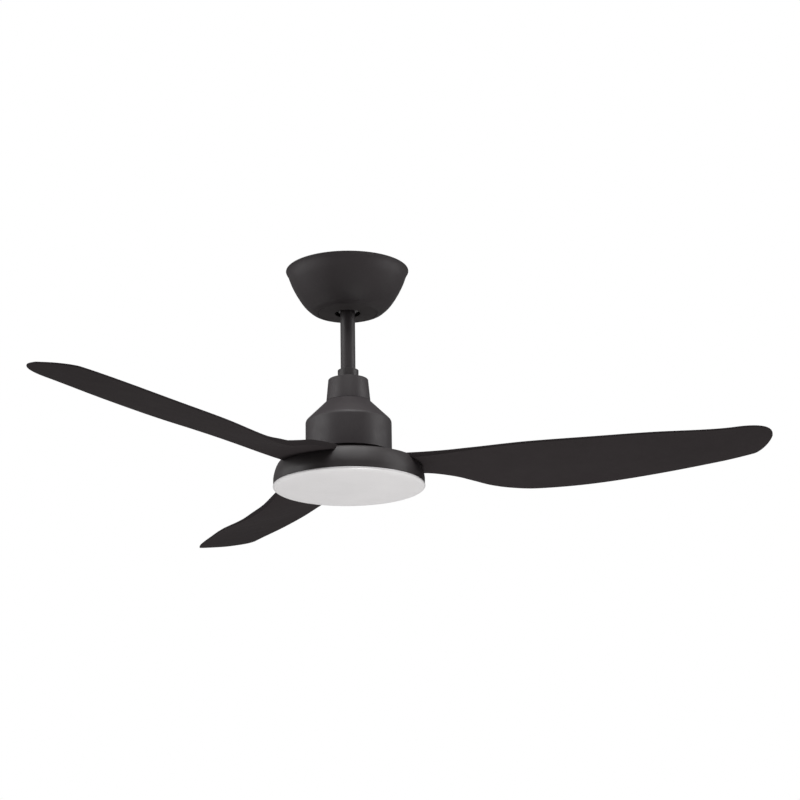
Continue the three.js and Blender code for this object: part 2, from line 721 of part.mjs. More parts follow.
function bladeHub() {
  const skirtOutside = [
    [HUB_SKIRT_RADIUS, HUB_SKIRT_FOOT_Z],
    [HUB_SKIRT_RADIUS, -316],
    [106.8, -307],
    [105, -302.4],
    [103.7, -298],
    [102.1, -293.4],
    [HUB_CREST_RADIUS + 2.2, -289.9],
    [HUB_CREST_RADIUS - 0.6, -288.5],
    [HUB_CREST_RADIUS - 4, HUB_CREST_Z],
  ];
  const skirtInside = [
    [95, -291],
    [99.6, -294.8],
    [101, -298.4],
    [102.5, -303],
    [104.2, -307.4],
    [105.1, -316],
    [105.1, HUB_SKIRT_FOOT_Z],
  ];
  const deck = [[66, HUB_CREST_Z - 0.6], [56, HUB_CREST_Z - 0.6], [56, ROTOR_FOOT_Z - GAP]];
  const bossRoof = ROTOR_FOOT_Z - 3.5;
  const boss = [[40, ROTOR_FOOT_Z - GAP], [40, bossRoof], [51.5, bossRoof], [51.5, HUB_CREST_Z - 3]];
  const shell = turned([...skirtInside, ...skirtOutside, ...deck, ...boss], 42);
  const filled = turned([[0, -299.2], [104.2, -299.2], ...skirtOutside.slice(4), [0, HUB_CREST_Z]], 42);
  const tubRoom = cut(filled, post(57, -330, -280, 0, 0, 24));
  let hub = shell;
  for (let i = 0; i < BLADES; i += 1) {
    hub = hub.add(loft([62, 98, 105, 118], 2.8, bladeHeading(i)).intersect(tubRoom));
  }
  for (let i = 0; i < BLADES; i += 1) {
    hub = cut(hub, loft(ROOT_RINGS, GAP, bladeHeading(i)));
    hub = cut(hub, ...BLADE_SCREW_T.map((t) => post(2.4, -302, -284, ...bladeScrewSpot(i, t), 8)));
    hub = cut(hub, post(2.3, -276, -268, ...around(HUB_BOLT_RADIUS, 90 + i * 120), 8));
  }
  return hub;
}

function hubScrew(i) {
  return screw(around(HUB_BOLT_RADIUS, 90 + i * 120), -276.6, -267.4, 2, 4, 2.2);
}

// ---------------------------------------------------------------- light
const flangeFoot = PAN_TOP_Z + GAP;

function lightMountPlate() {
  let plate = turned([
    [SHAFT_RADIUS + GAP, -303.5],
    [32.5, -303.5],
    [37, flangeFoot],
    [48, flangeFoot],
    [48, flangeFoot + 1.8],
    [38.5, flangeFoot + 1.8],
    [34, -301.5],
    [SHAFT_RADIUS + GAP, -301.5],
  ]);
  for (let i = 0; i < 3; i += 1) {
    plate = cut(plate, post(2.3, -312, -308, ...around(LIGHT_BOLT_RADIUS, i * 120), 8));
  }
  return plate;
}

function shaftNut() {
  const hex = post(13.5, -308.8, -303.8, 0, 0, 6);
  return cut(hex, post(SHAFT_RADIUS + GAP, -310, -302, 0, 0, 20));
}

// Arc-shaped lug between two radii, two heights and two azimuths.
function lug(inner, outer, low, high, fromDeg, toDeg) {
  const outline = new THREE.Shape();
  outline.absarc(0, 0, outer, radians(fromDeg), radians(toDeg), false);
  outline.absarc(0, 0, inner, radians(toDeg), radians(fromDeg), true);
  const options = { depth: high - low, bevelEnabled: false, curveSegments: 2 };
  return solid(new THREE.ExtrudeGeometry(outline, options).translate(0, 0, low));
}

function lightPan() {
  let pan = turned([
    [20, PAN_TOP_Z - PAN_SHEET],
    [PAN_RADIUS - PAN_SHEET, PAN_TOP_Z - PAN_SHEET],
    [PAN_RADIUS - PAN_SHEET, HUB_SKIRT_FOOT_Z + 0.2],
    [PAN_RADIUS, HUB_SKIRT_FOOT_Z + 0.2],
    [PAN_RADIUS, PAN_TOP_Z],
    [20, PAN_TOP_Z],
  ], 36);
  for (let i = 0; i < BAYONETS; i += 1) {
    const middle = i * 120;
    pan = pan.add(lug(98.9, PAN_RADIUS - 0.7, -319.2, -317.2, middle - 6, middle + 6));
    pan = cut(pan, post(2.3, -314, -310, ...around(LIGHT_BOLT_RADIUS, middle), 8));
  }
  return pan;
}

function panScrew(i) {
  return screw(around(LIGHT_BOLT_RADIUS, i * 120), -315.5, -306, 2, 3.8, 2.2);
}

function ledBoard() {
  let board = ring(12, LED_BOARD_RADIUS, -315, -313.3);
  for (let i = 0; i < 3; i += 1) {
    board = cut(board, post(5, -316, -312, ...around(LIGHT_BOLT_RADIUS, i * 120), 8));
  }
  for (const [radius, count] of [[28, 3], [60, 6], [78, 9]]) {
    for (let k = 0; k < count; k += 1) {
      const [x, y] = around(radius, 30 + (k * 360) / count);
      board = board.add(block(x - 1.8, x + 1.8, y - 1.8, y + 1.8, -315.8, -314.5));
    }
  }
  return board;
}

function diffuser() {
  let cover = turned([
    [0, DIFFUSER_FOOT_Z],
    [98, -325.9],
    [DIFFUSER_RADIUS - 0.6, -324.9, 1.6],
    [DIFFUSER_RADIUS, -323.2],
    [DIFFUSER_RADIUS - 0.7, DIFFUSER_RIM_Z],
    [98.5, DIFFUSER_RIM_Z],
    [98.5, -314.5],
    [96.5, -314.5],
    [96.5, -322.9],
    [0, -324.3],
  ], 44);
  for (let i = 0; i < BAYONETS; i += 1) {
    cover = cover.add(lug(98, 99.4, -316.9, -315.2, i * 120 - 6, i * 120 + 6));
  }
  return cover;
}

// ---------------------------------------------------------------- assembly
const fan = new THREE.Group();

function addPart(name, body, look) {
  const mesh = new THREE.Mesh(geometryOf(body), new THREE.MeshStandardMaterial(finish[look]));
  mesh.name = name;
  fan.add(mesh);
}

addPart("ceiling_bracket", ceilingBracket(), "zinc");
addPart("canopy", canopy(), "blackMetal");
addPart("canopy_ring", canopyRing(), "blackPlastic");
[-CANOPY_SCREW_X, CANOPY_SCREW_X].forEach((x, i) => {
  addPart(`canopy_screw_${i + 1}`, canopyScrew(x), "steel");
});
addPart("receiver_box", receiverBox(), "whitePlastic");
addPart("terminal_block", terminalBlock(), "nylon");

addPart("ball_seat", ballSeat(), "rubber");
addPart("hanger_ball", hangerBall(), "blackPlastic");
addPart("hanger_pin", postAlongX(PIN_RADIUS, -20, 20, BALL_Z), "steel");
addPart("ball_set_screw", setScrew(BALL_Z, -1, ROD_RADIUS + GAP, 20), "steel");
addPart("downrod", downrod(), "blackMetal");
addPart("lead_bundle", leadBundle(), "rubber");
addPart("rod_collar", rodCollar(), "satinPlastic");
addPart("coupling_yoke", couplingYoke(), "castAluminium");
addPart("coupling_pin", couplingPin(), "steel");
addPart("coupling_pin_clip", couplingPinClip(), "steel");
[1, -1].forEach((side, i) => {
  addPart(`coupling_set_screw_${i + 1}`, setScrew(YOKE_SCREW_Z, side, ROD_RADIUS + GAP, 19), "steel");
});
addPart("yoke_cover", yokeCover(), "blackMetal");
addPart("motor_housing", motorHousing(), "blackMetal");
for (let i = 0; i < 3; i += 1) addPart(`housing_screw_${i + 1}`, housingScrew(i), "steel");
addPart("motor_shaft", motorShaft(), "steel");
addPart("upper_bearing", bearing(upperBearingTop - BEARING_HEIGHT), "steel");
addPart("lower_bearing", bearing(lowerBearingFoot), "steel");
addPart("stator_core", statorCore(), "lamination");
addPart("upper_winding", winding(STATOR_TOP_Z, 1), "copper");
addPart("lower_winding", winding(STATOR_FOOT_Z, -1), "copper");
addPart("driver_board", driverBoard(), "board");

addPart("rotor_upper_shell", rotorUpperShell(), "castAluminium");
addPart("rotor_lower_shell", rotorLowerShell(), "castAluminium");
addPart("magnet_ring", magnetRing(), "ferrite");
addPart("blade_hub", bladeHub(), "satinPlastic");
for (let i = 0; i < BLADES; i += 1) {
  addPart(`blade_${i + 1}`, blade(i), "blackPlastic");
  BLADE_SCREW_T.forEach((t, k) => addPart(`blade_${i + 1}_screw_${k + 1}`, bladeScrew(i, t), "steel"));
  addPart(`hub_screw_${i + 1}`, hubScrew(i), "steel");
}

addPart("light_mount_plate", lightMountPlate(), "zinc");
addPart("shaft_nut", shaftNut(), "steel");
addPart("light_pan", lightPan(), "castAluminium");
for (let i = 0; i < 3; i += 1) addPart(`pan_screw_${i + 1}`, panScrew(i), "steel");
addPart("led_board", ledBoard(), "ledBoard");
addPart("diffuser", diffuser(), "opal");

export default fan;
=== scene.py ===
"""Looks of the ceiling fan with light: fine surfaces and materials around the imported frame.

Metres, in the frame's own axes: the bracket's ceiling face is z = 0 and the fan hangs below it.
"""

import json
import math

import bmesh
import bpy
from mathutils import Matrix, Vector


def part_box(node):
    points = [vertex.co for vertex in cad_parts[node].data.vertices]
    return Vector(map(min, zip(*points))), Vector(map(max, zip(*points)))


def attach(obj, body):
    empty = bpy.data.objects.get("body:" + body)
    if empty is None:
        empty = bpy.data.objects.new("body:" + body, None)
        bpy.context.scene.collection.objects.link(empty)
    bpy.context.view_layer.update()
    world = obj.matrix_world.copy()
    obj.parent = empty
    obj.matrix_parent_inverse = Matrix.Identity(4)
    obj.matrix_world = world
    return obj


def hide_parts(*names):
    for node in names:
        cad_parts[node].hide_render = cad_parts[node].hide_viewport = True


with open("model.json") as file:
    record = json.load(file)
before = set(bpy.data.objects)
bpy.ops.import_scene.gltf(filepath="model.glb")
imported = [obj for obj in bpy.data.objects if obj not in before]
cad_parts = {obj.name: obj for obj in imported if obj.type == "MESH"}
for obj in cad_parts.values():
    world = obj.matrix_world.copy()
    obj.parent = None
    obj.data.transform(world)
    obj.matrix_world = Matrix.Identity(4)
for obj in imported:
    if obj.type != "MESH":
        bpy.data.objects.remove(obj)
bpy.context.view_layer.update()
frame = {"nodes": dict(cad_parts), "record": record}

MM = 0.001
GAP = 0.3  # mm between pieces that touch

# ---------------------------------------------------------------- places, from the frame
FACE = {name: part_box(name) for name in frame["nodes"]}


def top(node):
    return FACE[node][1].z


def foot(node):
    return FACE[node][0].z


def reach(node):
    """Outer radius of a round node, in metres."""
    return (FACE[node][1].x - FACE[node][0].x) / 2


def extent(node):
    """Foot, top and outer radius of a round node, in mm."""
    return foot(node) / MM, top(node) / MM, reach(node) / MM


# All in mm
BALL_CENTRE_Z = (top("hanger_ball") + foot("hanger_ball")) / 2 / MM
ROD_RADIUS = reach("downrod") / MM
ROD_BORE = 8.2
PIN_HOLE_RADIUS = 3.3
YOKE_PIN_Z = -182
HUB_CREST_Z = -288
HOUSING_BOLTS = 3
HOUSING_BOLT_CIRCLE = 22
CANOPY_SCREW_X = 33
BLADES = 3
FIRST_BLADE_DEG = -8.4
HEADINGS_DEG = [FIRST_BLADE_DEG + 360 / BLADES * i for i in range(BLADES)]

# ---------------------------------------------------------------- camera
CAMERA_DISTANCE = 3132 * MM
CAMERA_LENS = 98.58
CAMERA_UP_DEG = 16.587  # the camera looks up from below the blades
CAMERA_ROLL_DEG = 0.925
CAMERA_TARGET = Vector((73.8, 0.0, -196.1)) * MM


def make_camera():
    up_angle = math.radians(CAMERA_UP_DEG)
    roll = math.radians(CAMERA_ROLL_DEG)
    forward = Vector((0, math.cos(up_angle), math.sin(up_angle)))
    level_right = Vector((1, 0, 0))
    level_up = level_right.cross(forward)
    right = math.cos(roll) * level_right - math.sin(roll) * level_up
    up = math.sin(roll) * level_right + math.cos(roll) * level_up
    data = bpy.data.cameras.new("camera")
    data.lens = CAMERA_LENS
    data.sensor_width = 36
    data.clip_start = 0.05
    data.clip_end = 60
    camera = bpy.data.objects.new("camera", data)
    bpy.context.scene.collection.objects.link(camera)
    turn = Matrix((right, up, -forward)).transposed().to_4x4()
    camera.matrix_world = Matrix.Translation(CAMERA_TARGET - forward * CAMERA_DISTANCE) @ turn
    bpy.context.scene.camera = camera


make_camera()
bpy.context.scene.view_settings.view_transform = "Standard"


# ---------------------------------------------------------------- materials
def srgb(red, green, blue):
    """A displayed colour, 0 to 255, as linear values."""
    def linear(value):
        value /= 255
        return value / 12.92 if value <= 0.04045 else ((value + 0.055) / 1.055) ** 2.4

    return (linear(red), linear(green), linear(blue), 1.0)


class Finish:
    """A Principled material whose colour, roughness and bump come from procedural nodes."""

    def __init__(self, name, roughness, metallic=0.0, **sockets):
        self.material = bpy.data.materials.new(name)
        self.material.use_nodes = True
        self.tree = self.material.node_tree
        self.shader = self.tree.nodes["Principled BSDF"]
        self.shader.inputs["Metallic"].default_value = metallic
        self.shader.inputs["Roughness"].default_value = roughness
        for socket, value in sockets.items():
            self.shader.inputs[socket.replace("_", " ")].default_value = value
        self.place = self.tree.nodes.new("ShaderNodeTexCoord").outputs["Object"]
        self.height = None

    def link(self, source, target):
        self.tree.links.new(source, target)

    def stretched(self, x, y, z):
        """The object coordinates, scaled, so that a noise runs along one way."""
        node = self.tree.nodes.new("ShaderNodeMapping")
        node.inputs["Scale"].default_value = (x, y, z)
        self.link(self.place, node.inputs["Vector"])
        return node.outputs["Vector"]

    def noise(self, scale, detail=3.0, roughness=0.5, place=None):
        node = self.tree.nodes.new("ShaderNodeTexNoise")
        node.inputs["Scale"].default_value = scale
        node.inputs["Detail"].default_value = detail
        node.inputs["Roughness"].default_value = roughness
        self.link(place or self.place, node.inputs["Vector"])
        return node.outputs["Fac"]

    def cells(self, scale):
        node = self.tree.nodes.new("ShaderNodeTexVoronoi")
        node.inputs["Scale"].default_value = scale
        self.link(self.place, node.inputs["Vector"])
        return node.outputs["Distance"]

    def between(self, value, low, high, start=0.3, end=0.7):
        """Maps a texture's usual range, start to end, to low to high."""
        node = self.tree.nodes.new("ShaderNodeMapRange")
        node.inputs["From Min"].default_value = start
        node.inputs["From Max"].default_value = end
        node.inputs["To Min"].default_value = low
        node.inputs["To Max"].default_value = high
        self.link(value, node.inputs["Value"])
        return node.outputs["Result"]

    def colours(self, value, first, second):
        node = self.tree.nodes.new("ShaderNodeMix")
        node.data_type = "RGBA"
        node.inputs["A"].default_value = first
        node.inputs["B"].default_value = second
        self.link(value, node.inputs["Factor"])
        self.link(node.outputs["Result"], self.shader.inputs["Base Color"])

    def rough(self, value):
        self.link(value, self.shader.inputs["Roughness"])

    def bump(self, value, depth, strength=1.0):
        """Adds a layer of relief, depth metres tall."""
        node = self.tree.nodes.new("ShaderNodeBump")
        node.inputs["Distance"].default_value = depth
        node.inputs["Strength"].default_value = strength
        self.link(value, node.inputs["Height"])
        if self.height is not None:
            self.link(self.height, node.inputs["Normal"])
        self.height = node.outputs["Normal"]
        self.link(self.height, self.shader.inputs["Normal"])


def powder_coat():
    """Matt black powder coat: fine orange peel over a cloudy sheen."""
    coat = Finish("powder_coat_black", 0.5, 0.0, Specular_IOR_Level=0.42)
    cloud = coat.noise(9, 2)
    coat.colours(coat.between(cloud, 0, 1), srgb(52, 47, 49), srgb(56, 51, 53))
    coat.rough(coat.between(coat.noise(60, 4), 0.46, 0.56))
    coat.bump(coat.noise(900, 2), 0.05 * MM, 0.5)
    coat.bump(coat.noise(2600, 1), 0.03 * MM, 0.4)
    return coat.material


def satin_black():
    """Moulded plastic painted to match the metal, a little smoother than the powder coat."""
    paint = Finish("satin_black", 0.46, 0.0, Specular_IOR_Level=0.38)
    paint.colours(paint.between(paint.noise(7, 2), 0, 1), srgb(52, 48, 49), srgb(56, 52, 53))
    paint.rough(paint.between(paint.noise(50, 4), 0.42, 0.5))
    paint.bump(paint.noise(1100, 2), 0.04 * MM, 0.4)
    paint.bump(paint.noise(3000, 1), 0.02 * MM, 0.3)
    return paint.material


def moulded_black():
    """Matt black moulded plastic with a fine spark-eroded grain."""
    plastic = Finish("moulded_black", 0.78, 0.0, Specular_IOR_Level=0.06)
    cloud = plastic.noise(6, 2)
    plastic.colours(plastic.between(cloud, 0, 1), srgb(42, 38, 39), srgb(45, 41, 42))
    plastic.rough(plastic.between(plastic.noise(45, 4), 0.7, 0.8))
    plastic.bump(plastic.cells(1700), 0.04 * MM, 0.45)
    plastic.bump(plastic.noise(700, 2), 0.03 * MM, 0.3)
    return plastic.material


def painted_light_black():
    """Matt moulded plastic of the canopy ring, a little greyer than the blades as painted light: the lighter
    colour stands in for light the hub keeps off the ring.
    """
    plastic = Finish("painted_light_black", 0.7, 0.0, Specular_IOR_Level=0.3)
    # painted light: greys lighter than the blade plastic, making up for the ring lying in the hub's shade
    plastic.colours(plastic.between(plastic.noise(9, 2), 0, 1), srgb(66, 62, 63), srgb(71, 67, 68))
    plastic.rough(plastic.between(plastic.noise(45, 4), 0.64, 0.76))
    plastic.bump(plastic.noise(1300, 2), 0.04 * MM, 0.4)
    return plastic.material


def opal_acrylic():
    """Opal diffuser: satin acrylic with light scattered inside it."""
    opal = Finish("opal_acrylic", 0.35, 0.0, Specular_IOR_Level=0.5, Subsurface_Weight=0.25,
                  Subsurface_Radius=(0.02, 0.02, 0.02), Subsurface_Scale=0.4)
    opal.colours(opal.between(opal.noise(14, 2), 0, 1), srgb(219, 217, 218), srgb(224, 222, 223))
    opal.rough(opal.between(opal.noise(80, 3), 0.3, 0.38))
    opal.bump(opal.noise(1500, 2), 0.02 * MM, 0.3)
    return opal.material


def sheet_zinc():
    """Zinc-plated sheet with faint spangle and rolling lines."""
    zinc = Finish("sheet_zinc", 0.4, 0.85)
    zinc.colours(zinc.between(zinc.cells(130), 0, 1, 0, 0.7), srgb(168, 170, 168), srgb(196, 198, 196))
    zinc.rough(zinc.between(zinc.noise(260, 4, place=zinc.stretched(0.1, 1, 1)), 0.3, 0.5))
    zinc.bump(zinc.noise(500, 3, place=zinc.stretched(0.06, 1, 1)), 0.02 * MM, 0.5)
    return zinc.material


def bright_steel(name, colour, roughness):
    """Turned or ground steel, with fine circular tool lines about the vertical."""
    steel = Finish(name, roughness, 0.95)
    lines = steel.noise(400, 3, place=steel.stretched(0.08, 0.08, 1))
    lighter = tuple(min(1.0, value * 1.15) for value in colour[:3]) + (1.0,)
    steel.colours(steel.between(lines, 0, 1), colour, lighter)
    steel.rough(steel.between(steel.noise(120, 3), roughness * 0.8, roughness * 1.3))
    steel.bump(lines, 0.015 * MM, 0.5)
    return steel.material


def cast_metal():
    """As-cast aluminium: a sandy skin with shallow pits."""
    cast = Finish("cast_aluminium", 0.5, 0.9)
    cast.colours(cast.between(cast.noise(40, 4), 0, 1), srgb(164, 166, 168), srgb(188, 190, 192))
    cast.rough(cast.between(cast.noise(200, 3), 0.4, 0.6))
    cast.bump(cast.noise(650, 4, 0.7), 0.08 * MM, 0.5)
    return cast.material


def laminated_steel():
    """Stacked steel sheets, seen edge on."""
    stack = Finish("laminations", 0.55, 0.7)
    layers = stack.tree.nodes.new("ShaderNodeTexWave")
    layers.bands_direction = "Z"
    layers.inputs["Scale"].default_value = 320
    layers.inputs["Distortion"].default_value = 0.4
    stack.link(stack.place, layers.inputs["Vector"])
    stack.colours(layers.outputs["Fac"], srgb(84, 86, 90), srgb(128, 130, 134))
    stack.rough(stack.between(stack.noise(150, 3), 0.45, 0.65))
    stack.bump(layers.outputs["Fac"], 0.04 * MM, 0.6)
    return stack.material


def wound_copper():
    """Enamelled wire, laid in turns round the ring."""
    copper = Finish("copper_wire", 0.32, 0.9, Coat_Weight=0.5, Coat_Roughness=0.2)
    turns = copper.tree.nodes.new("ShaderNodeTexWave")
    turns.wave_type = "RINGS"
    turns.rings_direction = "Z"
    turns.inputs["Scale"].default_value = 260
    turns.inputs["Distortion"].default_value = 1.2
    copper.link(copper.place, turns.inputs["Vector"])
    copper.colours(turns.outputs["Fac"], srgb(132, 66, 30), srgb(196, 118, 62))
    copper.rough(copper.between(copper.noise(120, 3), 0.26, 0.4))
    copper.bump(turns.outputs["Fac"], 0.15 * MM, 0.8)
    return copper.material


def plain_mould(name, dark, light, roughness, grain, depth):
    """Plain moulded plastic or rubber with its own grain."""
    plastic = Finish(name, roughness)
    plastic.colours(plastic.between(plastic.noise(30, 3), 0, 1), dark, light)
    plastic.rough(plastic.between(plastic.noise(90, 3), roughness - 0.06, roughness + 0.08))
    plastic.bump(plastic.noise(grain, 2), depth, 0.5)
    return plastic.material


def circuit_board():
    """Green solder mask over faint copper tracks."""
    board = Finish("circuit_board", 0.35, 0.0, Coat_Weight=0.3)
    tracks = board.tree.nodes.new("ShaderNodeTexBrick")
    tracks.inputs["Scale"].default_value = 60
    tracks.inputs["Mortar Size"].default_value = 0.03
    tracks.inputs["Color1"].default_value = srgb(24, 84, 48)
    tracks.inputs["Color2"].default_value = srgb(28, 96, 54)
    tracks.inputs["Mortar"].default_value = srgb(52, 128, 78)
    board.link(board.place, tracks.inputs["Vector"])
    board.link(tracks.outputs["Color"], board.shader.inputs["Base Color"])
    board.rough(board.between(board.noise(150, 3), 0.3, 0.42))
    board.bump(tracks.outputs["Fac"], 0.03 * MM, 0.5)
    return board.material


LOOKS = {
    "zinc": sheet_zinc(),
    "black_metal": powder_coat(),
    "black_plastic": moulded_black(),
    "black_satin": satin_black(),
    "black_nylon": plain_mould("black_nylon", srgb(28, 28, 29), srgb(38, 38, 39), 0.4, 500, 0.03 * MM),
    "white_plastic": plain_mould(
        "white_plastic", srgb(214, 213, 208), srgb(226, 225, 221), 0.45, 900, 0.05 * MM),
    "natural_nylon": plain_mould(
        "natural_nylon", srgb(198, 192, 174), srgb(214, 208, 192), 0.4, 700, 0.04 * MM),
    "rubber": plain_mould("soft_rubber", srgb(26, 26, 27), srgb(36, 36, 36), 0.85, 600, 0.08 * MM),
    "lead_sleeve": plain_mould("lead_sleeve", srgb(30, 30, 32), srgb(42, 42, 44), 0.6, 400, 0.05 * MM),
    "steel": bright_steel("zinc_screw", srgb(176, 178, 180), 0.32),
    "bearing_steel": bright_steel("bearing_steel", srgb(186, 188, 190), 0.22),
    "cast_aluminium": cast_metal(),
    "laminations": laminated_steel(),
    "copper": wound_copper(),
    "ferrite": plain_mould("ferrite", srgb(48, 48, 52), srgb(66, 66, 70), 0.6, 450, 0.06 * MM),
    "circuit_board": circuit_board(),
    "led_board": plain_mould("led_board", srgb(214, 214, 210), srgb(228, 228, 226), 0.4, 300, 0.02 * MM),
    "opal": opal_acrylic(),
}

SLOT_OF = {part["node"]: part["material_slot"] for part in frame["record"]["subparts"]}
for node, cad_object in frame["nodes"].items():
    cad_object.data.materials.clear()
    cad_object.data.materials.append(LOOKS[SLOT_OF[node]])


# ---------------------------------------------------------------- mesh tools
def mesh_object(name, vertices, faces, smooth_deg=35.0):
    mesh = bpy.data.meshes.new(name)
    mesh.from_pydata(vertices, [], faces)
    piece = bpy.data.objects.new(name, mesh)
    bpy.context.scene.collection.objects.link(piece)
    tidy_mesh(mesh, smooth_deg)
    return piece


def tidy_mesh(mesh, smooth_deg=35.0):
    work = bmesh.new()
    work.from_mesh(mesh)
    bmesh.ops.remove_doubles(work, verts=work.verts, dist=1e-6)
    bmesh.ops.recalc_face_normals(work, faces=work.faces)
    work.to_mesh(mesh)
    work.free()
    mesh.shade_smooth()
    mesh.set_sharp_from_angle(angle=math.radians(smooth_deg))


def rounded(corners, steps=8):
    """A profile of (radius, z) corners in mm. A third number is the radius of that corner's arc."""
    points = []
    for i, corner in enumerate(corners):
        here = Vector(corner[:2])
        if len(corner) == 2:
            points.append(here)
            continue
        before = Vector(corners[i - 1][:2])
        after = Vector(corners[(i + 1) % len(corners)][:2])
        arriving = (here - before).normalized()
        leaving = (after - here).normalized()
        turn = arriving.angle_signed(leaving)
        if abs(turn) < 1e-3:
            points.append(here)
            continue
        setback = corner[2] * math.tan(abs(turn) / 2)
        start = here - arriving * setback
        normal = Vector((-arriving.y, arriving.x)) * (1 if turn < 0 else -1)
        centre = start + normal * corner[2]
        for k in range(steps + 1):
            swing = -turn * k / steps
            arm = start - centre
            spun = Vector((
                arm.x * math.cos(swing) - arm.y * math.sin(swing),
                arm.x * math.sin(swing) + arm.y * math.cos(swing),
            ))
            points.append(centre + spun)
    return points


def smooth_curve(points, steps):
    """Catmull-Rom curve through (radius, z) points in mm."""
    knots = [Vector(points[0]) * 2 - Vector(points[1])]
    knots += [Vector(point) for point in points]
    knots.append(Vector(points[-1]) * 2 - Vector(points[-2]))
    curve = []
    for i in range(1, len(knots) - 2):
        p0, p1, p2, p3 = knots[i - 1:i + 3]
        for k in range(steps):
            t = k / steps
            bend = 2 * p1 + (p2 - p0) * t + (2 * p0 - 5 * p1 + 4 * p2 - p3) * t * t
            curve.append((bend + (3 * p1 - p0 - 3 * p2 + p3) * t ** 3) / 2)
    curve.append(Vector(points[-1]))
    return [tuple(point) for point in curve]


def turned(name, corners, segments=128, smooth_deg=35.0):
    """Solid of revolution about Z from a closed profile in mm."""
    profile = rounded(corners)
    on_axis = profile[0].x < 1e-6
    vertices = []
    faces = []
    size = len(profile)
    for i in range(segments):
        angle = 2 * math.pi * i / segments
        for point in profile:
            vertices.append((point.x * math.cos(angle) * MM, point.x * math.sin(angle) * MM, point.y * MM))
    last = size - 1 if on_axis else size
    for i in range(segments):
        here = i * size
        there = ((i + 1) % segments) * size
        for k in range(last):
            after = (k + 1) % size
            faces.append((here + k, there + k, there + after, here + after))
    return mesh_object(name, vertices, faces, smooth_deg)


def combine(piece, tool, operation):
    """Applies a boolean and throws the tool away."""
    modifier = piece.modifiers.new("boolean", "BOOLEAN")
    modifier.operation = operation
    modifier.solver = "EXACT"
    modifier.object = tool
    apply_modifiers(piece)
    bpy.data.objects.remove(tool)


def apply_modifiers(piece):
    graph = bpy.context.evaluated_depsgraph_get()
    mesh = bpy.data.meshes.new_from_object(piece.evaluated_get(graph))
    piece.modifiers.clear()
    old = piece.data
    piece.data = mesh
    bpy.data.meshes.remove(old)


def cylinder(name, radius, low, high, x=0.0, y=0.0, segments=32):
    """Upright cylinder, in mm, used as a cutter or joined to another piece."""
    angles = [2 * math.pi * i / segments for i in range(segments)]
    ring = [(x + radius * math.cos(angle), y + radius * math.sin(angle)) for angle in angles]
    vertices = [(px * MM, py * MM, z * MM) for z in (low, high) for px, py in ring]
    faces = [tuple(range(segments - 1, -1, -1)), tuple(range(segments, 2 * segments))]
    for i in range(segments):
        j = (i + 1) % segments
        faces.append((i, j, segments + j, segments + i))
    return mesh_object(name, vertices, faces)


def side_hole(radius, low, high, axis, z):
    """Cutter for a level hole at height z, in mm: an upright cylinder turned over about the axis."""
    hole = cylinder("hole", radius, low, high)
    hole.data.transform(Matrix.Rotation(math.radians(90), 4, axis))
    hole.data.transform(Matrix.Translation((0, 0, z * MM)))
    return hole


def block(name, x0, x1, y0, y1, z0, z1):
    """Box between two values along each axis, in mm."""
    outline = ((x0, y0), (x1, y0), (x1, y1), (x0, y1))
    vertices = [(x * MM, y * MM, z * MM) for z in (z0, z1) for x, y in outline]
    faces = [(3, 2, 1, 0), (4, 5, 6, 7), (0, 1, 5, 4), (1, 2, 6, 5), (2, 3, 7, 6), (3, 0, 4, 7)]
    return mesh_object(name, vertices, faces)


def bevelled(piece, width, segments=3, angle_deg=30.0):
    """Rounds every edge sharper than the angle."""
    modifier = piece.modifiers.new("bevel", "BEVEL")
    modifier.width = width * MM
    modifier.segments = segments
    modifier.limit_method = "ANGLE"
    modifier.angle_limit = math.radians(angle_deg)
    apply_modifiers(piece)
    tidy_mesh(piece.data, 40)


def stands_for(piece, node, body):
    """Finishes a piece: its material, its body and the CAD node that it replaces."""
    slot = SLOT_OF[node]
    piece.data.materials.clear()
    piece.data.materials.append(LOOKS[slot])
    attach(piece, body)
    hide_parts(node)


def softened(name, node, body, width, angle_deg=35.0):
    """A copy of a CAD solid with its flat faces merged and its edges rounded."""
    mesh = frame["nodes"][node].data.copy()
    mesh.name = name
    work = bmesh.new()
    work.from_mesh(mesh)
    bmesh.ops.dissolve_limit(work, angle_limit=math.radians(1), verts=work.verts, edges=work.edges)
    work.to_mesh(mesh)
    work.free()
    piece = bpy.data.objects.new(name, mesh)
    bpy.context.scene.collection.objects.link(piece)
    bevelled(piece, width, 2, angle_deg)
    stands_for(piece, node, body)


SHANK_RADIUS = 2.1
HEAD_RADIUS = 4.2
HEAD_HEIGHT = 2.4
RECESS_HALF_WIDTH = 0.55
RECESS_DEPTH = 1.5
RECESS_TURN_DEG = 20


def cross_screw(name, node, body, x, y):
    """Pan-head screw with a cross recess, head up, on a vertical axis at x, y in mm."""
    tip_z = foot(node) / MM
    head_z = top(node) / MM
    seat_z = head_z - HEAD_HEIGHT
    screw = turned(name, [
        (0, tip_z), (SHANK_RADIUS, tip_z, 0.4), (SHANK_RADIUS, seat_z), (HEAD_RADIUS, seat_z, 0.2),
        (HEAD_RADIUS, head_z - 1.2, 1), (HEAD_RADIUS * 0.55, head_z), (0, head_z),
    ], 48)
    half_length = HEAD_RADIUS * 0.5
    for turn in (0, 90):
        recess = block("recess", -half_length, half_length, -RECESS_HALF_WIDTH, RECESS_HALF_WIDTH,
                       head_z - RECESS_DEPTH, head_z + 1)
        recess.data.transform(Matrix.Rotation(math.radians(turn + RECESS_TURN_DEG), 4, "Z"))
        combine(screw, recess, "DIFFERENCE")
    screw.data.transform(Matrix.Translation((x * MM, y * MM, 0)))
    tidy_mesh(screw.data, 30)
    stands_for(screw, node, body)


